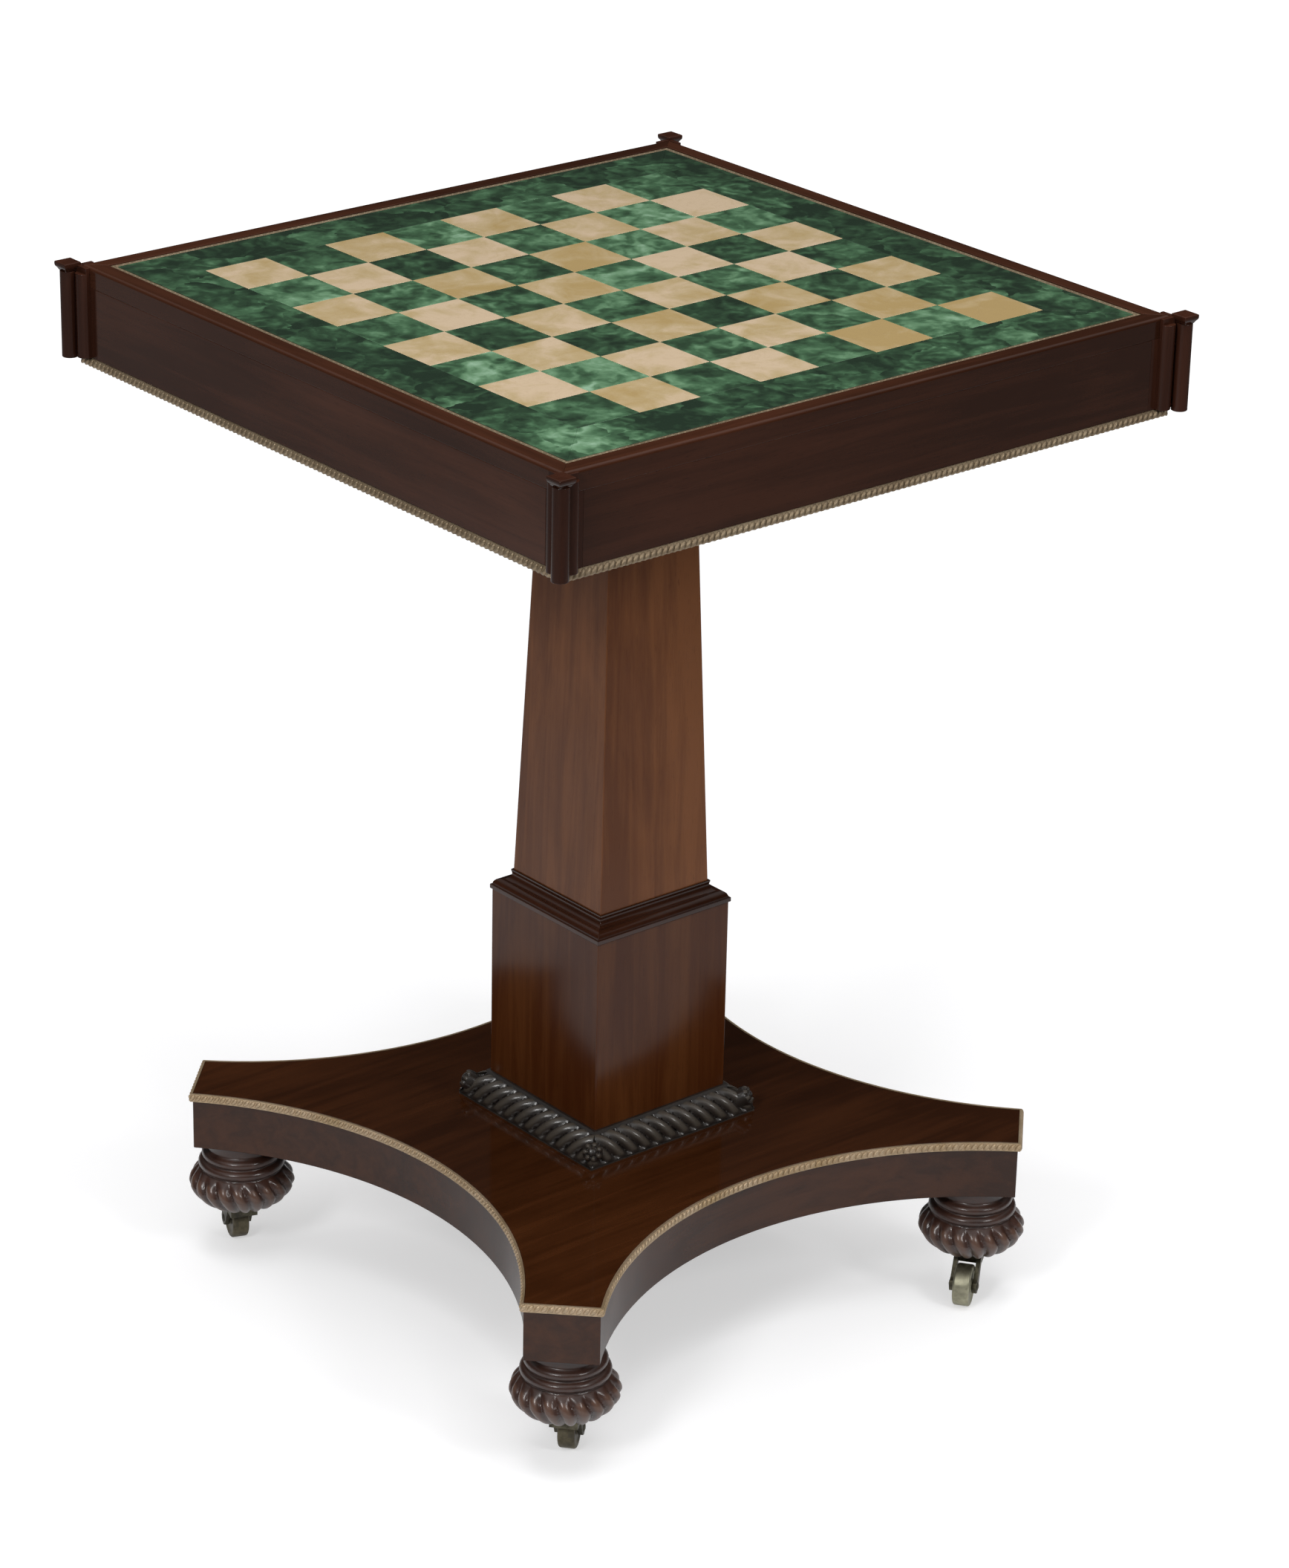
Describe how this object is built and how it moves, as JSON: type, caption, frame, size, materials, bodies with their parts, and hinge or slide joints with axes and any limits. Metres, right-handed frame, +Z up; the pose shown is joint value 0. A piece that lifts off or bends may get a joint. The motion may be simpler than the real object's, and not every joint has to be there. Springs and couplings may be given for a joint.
{
  "type": "games table",
  "caption": "Square pedestal games table with a malachite and cream stone chessboard top, tapered column, hollow-sided platform, lobed bun feet and casters.",
  "frame": {"origin": "floor level on the column's axis, at the bottom centre of the whole table", "axes": "+Z up along the column, -Y the front, +X to the right of a viewer who faces the front"},
  "size_m": [0.536, 0.536, 0.7368],
  "materials": {
    "mahogany": "polished",
    "ebonised_wood": "polished",
    "pine": "bare",
    "gilt": "gilded",
    "brass": "tarnished",
    "malachite": "polished",
    "cream_marble": "polished",
    "slate": "honed"
  },
  "bodies": {
    "table": {"light_squares": "cream_marble", "malachite_squares": "malachite", "malachite_border_front": "malachite", "malachite_border_right": "malachite", "malachite_border_back": "malachite", "malachite_border_left": "malachite", "slate_bed": "slate", "board_bead": "gilt", "rim_front": "mahogany", "rim_right": "mahogany", "rim_back": "mahogany", "rim_left": "mahogany", "frieze_front": "mahogany", "frieze_right": "mahogany", "frieze_back": "mahogany", "frieze_left": "mahogany", "frieze_bead": "gilt", "corner_post_front_left": "mahogany", "corner_post_front_right": "mahogany", "corner_post_back_right": "mahogany", "corner_post_back_left": "mahogany", "top_board": "pine", "frieze_corner_blocks": "pine", "column_head": "pine", "column_shaft": "mahogany", "cornice_front": "mahogany", "cornice_right": "mahogany", "cornice_back": "mahogany", "cornice_left": "mahogany", "plinth": "mahogany", "gadroon_front": "ebonised_wood", "gadroon_right": "ebonised_wood", "gadroon_back": "ebonised_wood", "gadroon_left": "ebonised_wood", "gadroon_studs": "ebonised_wood", "platform": "mahogany", "platform_side_bead": "gilt", "platform_end_bead": "gilt", "foot_front_left": "ebonised_wood", "foot_front_right": "ebonised_wood", "foot_back_right": "ebonised_wood", "foot_back_left": "ebonised_wood", "caster_sockets": "brass"},
    "horn_front_left": {"caster_horn_front_left": "brass"},
    "wheel_front_left": {"caster_wheel_front_left": "brass"},
    "horn_front_right": {"caster_horn_front_right": "brass"},
    "wheel_front_right": {"caster_wheel_front_right": "brass"},
    "horn_back_right": {"caster_horn_back_right": "brass"},
    "wheel_back_right": {"caster_wheel_back_right": "brass"},
    "horn_back_left": {"caster_horn_back_left": "brass"},
    "wheel_back_left": {"caster_wheel_back_left": "brass"}
  },
  "joints": [
    {"name": "swivel_front_left", "type": "hinge", "parent": "table", "child": "horn_front_left", "pos_m": [-0.18526, -0.18526, 0.0305], "axis": [0, 0, 1], "continuous": true},
    {"name": "roll_front_left", "type": "hinge", "parent": "horn_front_left", "child": "wheel_front_left", "pos_m": [-0.17147, -0.17369, 0.015], "axis": [-0.6428, 0.766, 0], "continuous": true},
    {"name": "swivel_front_right", "type": "hinge", "parent": "table", "child": "horn_front_right", "pos_m": [0.18526, -0.18526, 0.0305], "axis": [0, 0, 1], "continuous": true},
    {"name": "roll_front_right", "type": "hinge", "parent": "horn_front_right", "child": "wheel_front_right", "pos_m": [0.1707, -0.19584, 0.015], "axis": [0.5878, -0.809, 0], "continuous": true},
    {"name": "swivel_back_right", "type": "hinge", "parent": "table", "child": "horn_back_right", "pos_m": [0.18526, 0.18526, 0.0305], "axis": [0, 0, 1], "continuous": true},
    {"name": "roll_back_right", "type": "hinge", "parent": "horn_back_right", "child": "wheel_back_right", "pos_m": [0.16967, 0.19426, 0.015], "axis": [-0.5, -0.866, 0], "continuous": true},
    {"name": "swivel_back_left", "type": "hinge", "parent": "table", "child": "horn_back_left", "pos_m": [-0.18526, 0.18526, 0.0305], "axis": [0, 0, 1], "continuous": true},
    {"name": "roll_back_left", "type": "hinge", "parent": "horn_back_left", "child": "wheel_back_left", "pos_m": [-0.17881, 0.20207, 0.015], "axis": [-0.9336, 0.3584, 0], "continuous": true}
  ]
}
